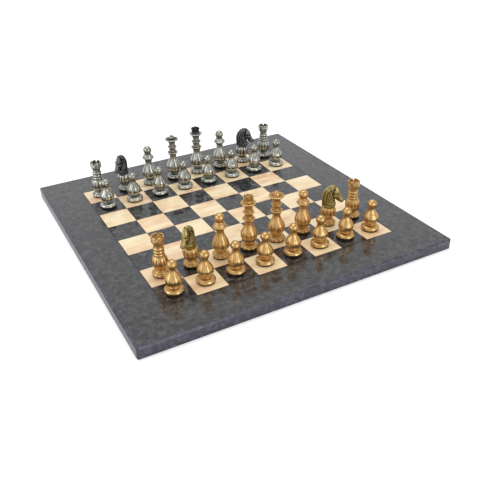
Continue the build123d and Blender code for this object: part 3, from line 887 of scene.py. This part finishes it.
king_line = outline(
    lobed_bun(KING_FOOT),
    cove(KING_FOOT, (4.9, 9.2)),
    onion((5.0, 9.2), (10.1, 19.0), (4.8, 33.5)),
    collar((4.7, 33.5), 7.9, 39.1, (4.7, 45.0)),
    collar((4.7, 45.0), 7.1, 47.7, (4.6, 53.6)),
    lip((4.6, 53.6), 9.4, 59.4),
    [(8.4, 61.2), (6.8, CROWN_SEAT)],
)
king_shell = tube(*revolved(king_line, [(9.2, 33.5, LOBE_DEPTH), BUN_LOBES]))
print("king rows", len(king_line))

# %% Crown
CROWN_RIM, CROWN_FLOOR, RIM_RADIUS, RIM_INSIDE, DOME_RADIUS = 68.6, 67.2, 6.4, 5.1, 4.4
SCALLOPS, SCALLOP_RADIUS, CROWN_COLUMNS = 8, 1.3, 192
RIM_FROM, RIM_DEPTH, WITHIN_RADIUS, WITHIN_DEPTH = 4.7, 2, 5.2, 0.3
# Painted shade within the crown's rim.
CROWN_PAINTED_SHADE = 0.35

crown_line = outline(
    curve((5.8, CROWN_SEAT), (5.4, 63.6), (RIM_RADIUS, CROWN_RIM)),
    [(RIM_RADIUS, CROWN_RIM), (RIM_INSIDE, CROWN_RIM)],
    [(RIM_INSIDE, CROWN_FLOOR), (DOME_RADIUS, CROWN_FLOOR)],
    curve((DOME_RADIUS, CROWN_FLOOR), (4.2, 68.6), (2.8, 69.6), (1.0, 69.9)),
    curve((1.0, 69.9), (1.4, 70.3), (0.9, 70.8), (0.1, 71.0)),
    eased=1,
)
crown_points, crown_recess = revolved(crown_line, columns=CROWN_COLUMNS)
crown_radius, crown_height = crown_line[:, :1], crown_line[:, 1:]
half_cut = np.pi / SCALLOPS
off_cut = (once_round(CROWN_COLUMNS) + half_cut) % (2 * half_cut) - half_cut
chord = crown_radius * np.sin(off_cut)
fall = np.sqrt(np.clip(SCALLOP_RADIUS**2 - chord**2, 0, None))
on_rim = (crown_radius > RIM_FROM) & (crown_height > CROWN_RIM - RIM_DEPTH)
level = crown_points[..., 2]
crown_points[..., 2] = np.where(on_rim, np.minimum(level, CROWN_RIM - fall), level)
within_rim = (crown_radius < WITHIN_RADIUS) & (crown_height > CROWN_FLOOR - WITHIN_DEPTH)
# Painted shade within the rim; the rest of the crown is a little darker, as a ball is.
crown_darkening = np.where(within_rim, CROWN_PAINTED_SHADE, BALL_DARKENING)
crown_shell = tube(crown_points, np.clip(crown_recess + crown_darkening, 0, 1))
print("crown rows", len(crown_line))

# %% Place kings
CROWN_METALS = {"gold": brass, "silver": black_nickel}
for metal, material in METALS.items():
    body = f"{metal}_king"
    shells = [(*king_shell, material), (*felt_disc(KING_FOOT), pad_felt)]
    dress(f"{body}_body", body, shells)
    dress(f"{body}_crown", body, [(*crown_shell, CROWN_METALS[metal])])
print("crowns:", len(CROWN_METALS))

# %% [markdown]
# ## Knight's base
#
# The base repeats the rook's globe on a foot. The stud inside keeps its own model and is plain
# turned steel.

# %% Knight's base
KNIGHT_FOOT, RING_MM = 9.9, 0.25


def turned_steel(name, pale, dark):
    """Turned steel: fine rings along Z on a grey metal."""
    material, tree, shader, place = new_material(name)
    mark = stretched(tree, place, (1, 1, 1 / (RING_MM * MM)), detail=2.0)
    colour = ramp(tree, mark, (0.3, dark), (0.7, pale))
    feed(tree, shader, {"Base Color": colour, "Metallic": 1.0, "Roughness": 0.35})
    return material


steel = turned_steel("turned_steel", "#b9bcc0", "#8d9094")
base_line = outline(
    lobed_bun(KNIGHT_FOOT),
    cove(KNIGHT_FOOT, (5.1, 9.8)),
    globe((4.4, 9.8), (9.6, 18.8), (3.2, 26.6), 48),
)
base_shell = tube(*revolved(base_line, [(9.8, 26.0, GLOBE_LOBES), BUN_LOBES]))
for metal, material in METALS.items():
    for wing in WINGS:
        body = f"{metal}_knight_{wing}"
        shells = [(*base_shell, material), (*felt_disc(KNIGHT_FOOT), pad_felt)]
        dress(f"{body}_base", body, shells)
        paint(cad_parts[f"{body}_stud"], steel)
print("base rows", len(base_line))

# %% [markdown]
# ## Horse head
#
# The head is one casting, roughed out as a sculptor would: tubes of ovals for the neck, the head,
# the crest of the mane and the ears, with balls for the poll, muzzle, cheeks, brows, eyes and
# nostrils. A voxel remesh melts them into one skin, and the carving comes after it, as moves of
# the skin's vertices along their normals. The horse looks along +X here.

# %% Tubes of ovals
DOME_ROWS, LUMP_ROWS, LUMP_COLUMNS = 7, 17, 24


def spread(stations, count):
    """Smooth rows through rows of numbers, evenly over their chords: piecewise cubics whose slope
    at a row is the mean of its two sides."""
    rows = np.array(stations, float)
    at = np.r_[0, np.cumsum(np.linalg.norm(np.diff(rows[:, :2], axis=0), axis=1))]
    slope = np.gradient(rows, at, axis=0)
    dense = np.linspace(0, at[-1], count)
    k = np.clip(np.searchsorted(at, dense, side="right") - 1, 0, len(at) - 2)
    h = (at[k + 1] - at[k])[:, None]
    t = (dense - at[k])[:, None] / h
    return (
        (2 * t**3 - 3 * t**2 + 1) * rows[k]
        + (t**3 - 2 * t**2 + t) * h * slope[k]
        + (3 * t**2 - 2 * t**3) * rows[k + 1]
        + (t**3 - t**2) * h * slope[k + 1]
    )


def oval_tube(stations, rows=40, columns=40, dome=(0.6, 0.6)):
    """Tube of ovals across the horse: a station is a centre forward and up, the tilt of its plane,
    a half depth and a half width. The ends are domed by shares of the half width."""
    forward, up, tilt, depth, width = spread(stations, rows).T
    lean = np.radians(tilt)
    swell = np.linspace(0, np.pi / 2, DOME_ROWS)[::-1]
    start = np.stack([np.cos(swell), -np.sin(swell) * dome[0] * width[0]], 1)[:-1]
    end = np.stack([np.cos(swell), np.sin(swell) * dome[1] * width[-1]], 1)[::-1][1:]
    pick = np.r_[np.zeros(len(start), int), np.arange(rows), np.full(len(end), rows - 1)]
    scale = np.r_[start[:, 0], np.ones(rows), end[:, 0]]
    shift = np.r_[start[:, 1], np.zeros(rows), end[:, 1]]
    turn = once_round(columns)
    off = (scale * depth[pick])[:, None] * np.cos(turn)
    sine, cosine = np.sin(lean[pick]), np.cos(lean[pick])
    x = (forward[pick] + shift * sine)[:, None] + off * cosine[:, None]
    z = (up[pick] + shift * cosine)[:, None] - off * sine[:, None]
    y = (scale * width[pick])[:, None] * np.sin(turn)
    return np.stack([x, y, z], axis=-1)


def crest_tube(line, radial, half_width):
    """Mane's crest: ovals square to a line in the horse's middle plane."""
    points = np.array(line, float)
    step = np.gradient(points, axis=0)
    tilt = np.degrees(np.arctan2(step[:, 0], step[:, 1]))
    size = np.tile([radial, half_width], (len(points), 1))
    return oval_tube(np.c_[points, tilt, size], rows=60)


def lump(centre, size, tilt=0.0):
    """Ball stretched to half sizes along, across and up, then tilted in the middle plane."""
    polar = np.linspace(-np.pi / 2, np.pi / 2, LUMP_ROWS)[:, None]
    turn = once_round(LUMP_COLUMNS)
    a = size[0] * np.cos(polar) * np.cos(turn)
    y = size[1] * np.cos(polar) * np.sin(turn)
    b = size[2] * np.sin(polar) * np.ones_like(turn)
    lean = math.radians(tilt)
    x = a * math.cos(lean) + b * math.sin(lean)
    z = -a * math.sin(lean) + b * math.cos(lean)
    return np.stack([x + centre[0], y + centre[1], z + centre[2]], axis=-1)


print("a lump's grid:", LUMP_ROWS, "by", LUMP_COLUMNS)

# %% Rough out the head
NECK = (
    (0.2, 24.6, 0, 7.4, 6.8),
    (1.2, 28.5, 0, 7.9, 6.5),
    (0.5, 34.0, -2, 7.0, 5.6),
    (0.6, 40.0, 4, 6.6, 4.8),
    (1.9, 45.6, 24, 5.6, 4.1),
    (4.8, 49.4, 52, 3.9, 3.2),
)
HEAD = (
    (6.7, 49.6, 140, 3.2, 2.6),
    (7.6, 46.5, 140, 4.8, 3.6),
    (9.0, 42.5, 140, 5.5, 3.9),
    (10.8, 38.8, 140, 4.7, 3.3),
    (12.9, 36.0, 140, 3.8, 3.0),
    (15.2, 33.8, 140, 3.2, 3.0),
    (16.6, 32.8, 140, 2.7, 2.7),
)
CREST = (
    (-5.9, 25.4), (-6.4, 31.0), (-6.4, 37.0), (-5.6, 42.0),
    (-3.8, 46.0), (-0.8, 49.2), (3.0, 51.0), (6.0, 51.2),
)
EAR = (
    (5.2, 49.0, 18, 1.6, 1.4),
    (6.0, 51.2, 18, 1.25, 1.1),
    (6.5, 52.6, 20, 0.8, 0.7),
    (6.8, 53.3, 20, 0.35, 0.3),
)
EAR_APART, EAR_SPLAY, EAR_LEVEL = 1.6, 0.22, 50
MIDDLE_LUMPS = {
    "poll": ((6.6, 0, 50.0), (2.3, 2.3, 2.3)),
    "muzzle": ((16.3, 0, 33.4), (2.4, 2.8, 2.4)),
}
PAIRED_LUMPS = {
    "cheek": ((8.6, 2.3, 40.8), (4.2, 1.9, 3.9), 50),
    "brow": ((10.7, 2.9, 45.2), (2.0, 0.9, 0.8), 50),
    "eye": ((11.5, 3.0, 43.6), (0.95, 0.75, 0.8), 0),
    "nostril": ((16.5, 2.0, 34.7), (1.3, 0.8, 0.9), 50),
}


def ear(side):
    """Pricked ear: a leaf of ovals that narrows to its tip."""
    leaf = oval_tube(EAR, rows=16, columns=16)
    leaf[..., 1] += side * (EAR_APART + EAR_SPLAY * (leaf[..., 2] - EAR_LEVEL))
    return leaf


tubes = [oval_tube(NECK, dome=(0.0, 0.6)), oval_tube(HEAD)]
tubes += [crest_tube(CREST, radial=1.9, half_width=2.0)]
tubes += [lump(centre, size) for centre, size in MIDDLE_LUMPS.values()]
for side in (-1, 1):
    tubes += [ear(side)]
    for (forward, across, up), size, tilt in PAIRED_LUMPS.values():
        tubes += [lump((forward, side * across, up), size, tilt)]
print("rough tubes:", len(tubes))

# %% Melt into one skin
VOXEL_MM = 0.3


def melted(grids, voxel):
    """Points and quads of the one skin that a voxel remesh makes of closed grids."""
    points, faces = joined([tube(grid, np.zeros(grid.shape[:2])) for grid in grids])
    rough = bpy.data.meshes.new("rough")
    rough.from_pydata(points.tolist(), [], faces)
    rough_object = new_object("rough", rough)
    remesh = rough_object.modifiers.new("melt", "REMESH")
    remesh.mode = "VOXEL"
    remesh.voxel_size = voxel
    evaluated = rough_object.evaluated_get(bpy.context.evaluated_depsgraph_get())
    skin = bpy.data.meshes.new_from_object(evaluated)
    points = np.empty(3 * len(skin.vertices))
    corners = np.empty(len(skin.loops), int)
    skin.vertices.foreach_get("co", points)
    skin.loops.foreach_get("vertex_index", corners)
    bpy.data.objects.remove(rough_object)
    for mesh in (rough, skin):
        bpy.data.meshes.remove(mesh)
    return points.reshape(-1, 3), corners.reshape(-1, 4)


def neighbour_mean(values, quads, rounds):
    """Mean of each vertex and its neighbours along the sides of its quads, repeated."""
    edges = np.concatenate([quads[:, [k, (k + 1) % 4]] for k in range(4)])
    count = np.bincount(edges[:, 0], minlength=len(values)) + 1
    for _ in range(rounds):
        total = values.copy()
        for k in range(values.shape[1]):
            beside = values[edges[:, 1], k]
            total[:, k] += np.bincount(edges[:, 0], beside, minlength=len(values))
        values = total / count[:, None]
    return values


def vertex_normals(points, quads):
    """Outward unit vectors: the sum of the crossed diagonals of the quads round a vertex."""
    a, b, c, d = (points[quads[:, k]] for k in range(4))
    cross = np.repeat(np.cross(c - a, d - b), 4, axis=0)
    sums = [np.bincount(quads.ravel(), cross[:, k], minlength=len(points)) for k in range(3)]
    total = np.stack(sums, axis=1)
    return total / (np.linalg.norm(total, axis=1, keepdims=True) + 1e-12)


skin_points, skin_quads = melted(tubes, VOXEL_MM)
skin_points = neighbour_mean(skin_points, skin_quads, rounds=3)
print("skin:", len(skin_points), "vertices")

# %% [markdown]
# ## Carving the horse
#
# A lock of the mane is a rounded ridge between two creases, which are circles about the cheek. With
# the distance from it, s, in lock widths, the ridge goes with the square root of the sine of pi s.
# The nostrils, the mouth and the hollows by eye and ear are dents.

# %% Carve
CHEEK, BEHIND_CHEEK, BEHIND_LEAN = np.array([9.6, 43.0]), 1.0, 0.55
LOCK_FIRST, LOCK_LAST, LOCK_WIDTH, LOCK_HEIGHT, LOCK_MEAN = 5.55, 11.55, 2.0, 0.6, 0.6
CREST_BAND, CREST_RAISE, GROOVE_DEPTH, GROOVE_HALF = 3.6, 0.4, 0.45, 0.5
RINGS = {"collar": (0.2, 26.4, 1.1), "notch": (-0.15, 28.3, 0.5)}
DENTS = {
    "before_the_eye": (0.8, (12.6, 2.9, 42.3), (1.0, 1.2, 0.7)),
    "below_the_ear": (0.7, (6.8, 3.0, 47.6), (1.2, 1.0, 1.0)),
    "nostril": (0.9, (17.5, 2.2, 34.5), (0.7, 0.8, 0.6)),
}
POLL, NOSE_WARD, BROW_WARD = np.array([[7.0, 46.0], [0.643, -0.766], [0.766, 0.643]])
MOUTH_AT, MOUTH_HALF, MOUTH_DEPTH = -1.6, 0.5, 1.0
HEAD_WORN, SUNK_FULL_MM = 0.25, 0.16


def fade(value, low, high):
    """0 below low, 1 above high, eased between them."""
    share = np.clip((value - low) / (high - low), 0, 1)
    return share * share * (3 - 2 * share)


def bell(value, middle, half):
    """Bell of height 1 about a middle: exp(-((v - middle) / half) ** 2)."""
    return np.exp(-(((value - middle) / half) ** 2))


def dent(points, centre, size):
    """Bell of height 1 about a centre on both sides of the horse, as wide as given."""
    mirrored = points * [1, 0, 1] + np.abs(points) * [0, 1, 0]
    return np.exp(-(((mirrored - centre) / size) ** 2).sum(1))


def carve(points, quads):
    """Move the skin's vertices along their normals by locks, creases and dents."""
    x, y, z = points.T
    flat = points[:, [0, 2]]
    reach = np.hypot(*(flat - CHEEK).T)
    lock = (reach - LOCK_FIRST) / LOCK_WIDTH
    ridge = np.sqrt(np.abs(np.sin(np.pi * lock))) - LOCK_MEAN
    behind = fade(CHEEK[0] - BEHIND_CHEEK - x + BEHIND_LEAN * (CHEEK[1] - z), 0.0, 2.0)
    window = fade(reach, LOCK_FIRST - 0.4, LOCK_FIRST + 0.2) * fade(LOCK_LAST - reach, -0.2, 0.4)
    window *= behind * fade(np.abs(y), 1.2, 2.6) * fade(z, 27.5, 30.0)
    move = LOCK_HEIGHT * ridge * window
    line = spread(CREST, 80)
    off_crest = np.hypot(flat[:, :1] - line[:, 0], flat[:, 1:] - line[:, 1]).min(1)
    on_neck = fade(z, 28.0, 37.0) * fade(6.0 - x, 0, 2)
    move += CREST_RAISE * fade(CREST_BAND - off_crest, 0.2, 0.9) * on_neck
    groove = GROOVE_DEPTH * bell(off_crest, CREST_BAND, GROOVE_HALF)
    move -= groove * on_neck * fade(np.abs(y), 1.0, 2.0)
    move += sum(raise_mm * bell(z, at, half) for raise_mm, at, half in RINGS.values())
    for depth, centre, size in DENTS.values():
        move -= depth * dent(points, centre, size)
    along, up = (flat - POLL) @ NOSE_WARD, (flat - POLL) @ BROW_WARD
    move -= MOUTH_DEPTH * bell(up, MOUTH_AT, MOUTH_HALF) * fade(along, 11.5, 13.5)
    return points + vertex_normals(points, quads) * move[:, None]


head_points = neighbour_mean(carve(skin_points, skin_quads), skin_quads, rounds=1)
smooth_points = neighbour_mean(head_points, skin_quads, rounds=14)
# Vertices below the smoothed skin get a higher recess and a darker colour: partly patina, partly
# painted shade.
sunk = ((smooth_points - head_points) * vertex_normals(head_points, skin_quads)).sum(1)
head_recess = np.clip(HEAD_WORN + sunk / SUNK_FULL_MM, 0, 1)
print("head from", head_points.min(0).round(1), "to", head_points.max(0).round(1))

# %% Place heads
KNIGHT_TURNS = {"left": math.radians(215), "right": math.radians(-35)}
no_triangles = np.empty((0, 3), int)
for metal, material in HEAD_METALS.items():
    for wing, turn in KNIGHT_TURNS.items():
        body = f"{metal}_knight_{wing}"
        shells = [(head_points, head_recess, skin_quads, no_triangles, material)]
        place = standing_place(f"{body}_base")
        dress(f"{body}_head", body, shells, turn, place)
print("heads:", len(HEAD_METALS) * len(KNIGHT_TURNS))
